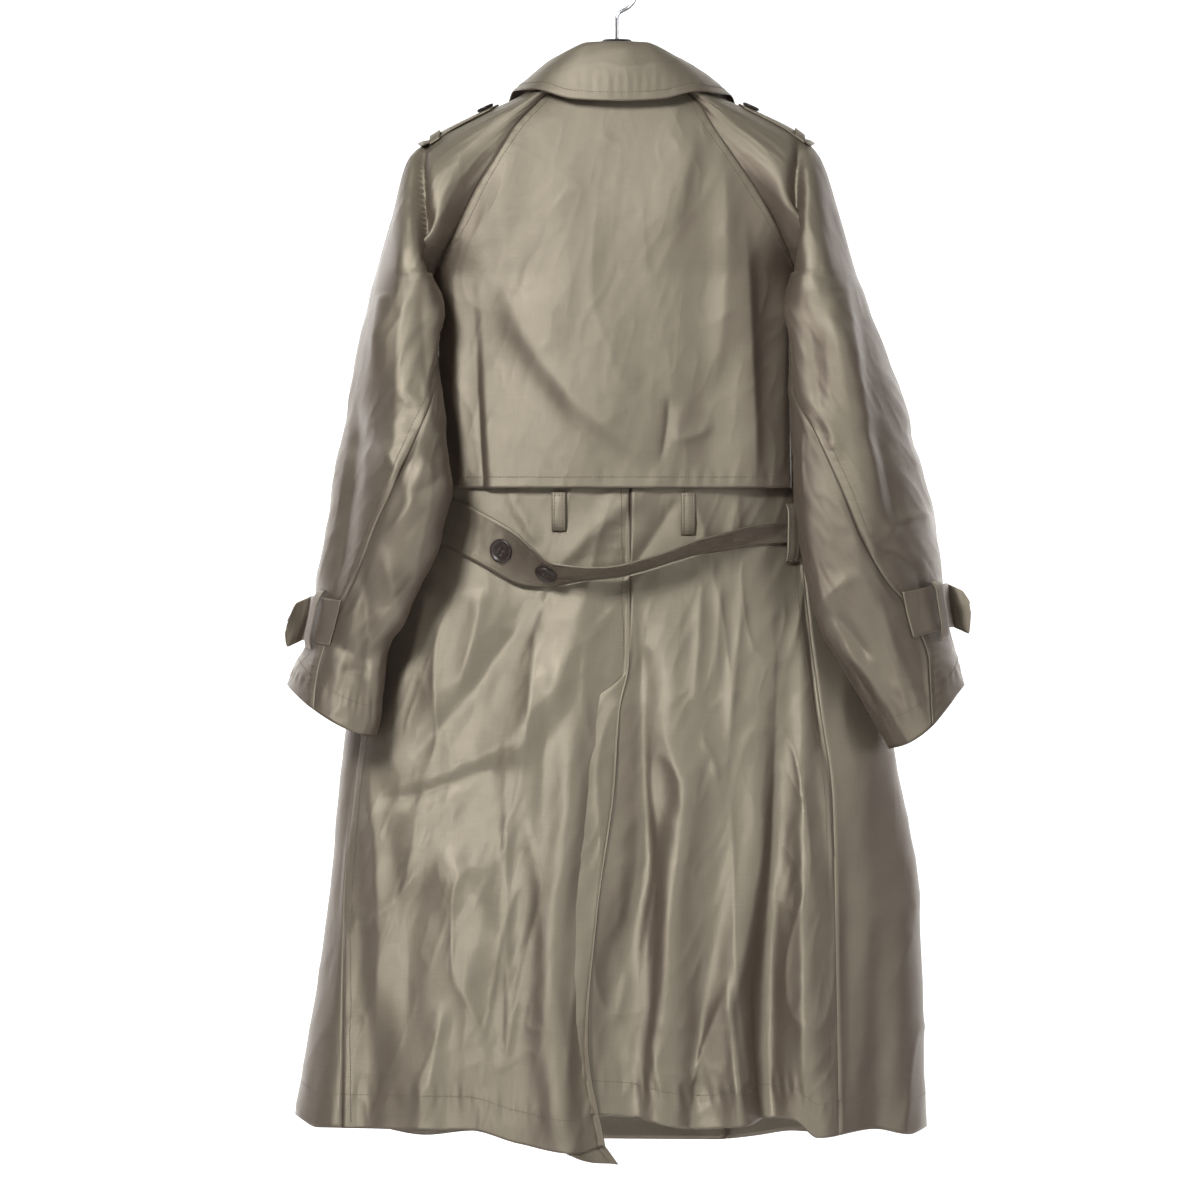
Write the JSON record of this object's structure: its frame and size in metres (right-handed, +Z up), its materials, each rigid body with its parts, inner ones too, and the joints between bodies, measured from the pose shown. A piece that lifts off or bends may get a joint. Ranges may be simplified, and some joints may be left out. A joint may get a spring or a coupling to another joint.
{
  "type": "trench coat on a hanger",
  "caption": "Long raglan-sleeved trench coat with a storm flap, back vent and loose belt, hanging on a plain hanger with a wire hook.",
  "frame": {"origin": "inside top of the hanger's hook, where a rail or a peg carries it", "axes": "+Z up, +Y out of the coat's back, +X to the wearer's left; the coat hangs straight down from the hook"},
  "size_m": [0.6885, 0.257, 1.1974],
  "materials": {
    "cloth": "fine plain weave with a soft two-tone sheen, khaki to mauve brown",
    "cloth_shade": "the same fine two-tone weave, on the fronts, lapels and under sleeves",
    "button": "dark brown, polished, with a rim and four holes",
    "hanger": "plain black, satin",
    "wire": "bright plated wire"
  },
  "bodies": {
    "root": {"back_left": "cloth", "back_right": "cloth", "storm_flap": "cloth", "sleeve_upper_left": "cloth", "epaulette_left": "cloth", "epaulette_loop_left": "cloth", "cuff_strap_left": "cloth", "cuff_loop_left": "cloth", "sleeve_upper_right": "cloth", "epaulette_right": "cloth", "epaulette_loop_right": "cloth", "cuff_strap_right": "cloth", "cuff_loop_right": "cloth", "collar_stand": "cloth", "collar_leaf": "cloth", "belt_loop_1": "cloth", "belt_loop_2": "cloth", "side_loop_left": "cloth", "side_loop_right": "cloth", "belt": "cloth", "vent_facing": "cloth_shade", "front_left": "cloth_shade", "front_right": "cloth_shade", "lapel_left": "cloth_shade", "lapel_right": "cloth_shade", "sleeve_under_left": "cloth_shade", "sleeve_under_right": "cloth_shade", "epaulette_button_left": "button", "epaulette_button_right": "button", "belt_button_1": "button", "belt_button_2": "button", "front_button_1": "button", "front_button_2": "button", "front_button_3": "button", "front_button_4": "button", "front_button_5": "button", "front_button_6": "button", "hanger": "hanger", "hanger_hook": "wire"}
  },
  "joints": []
}
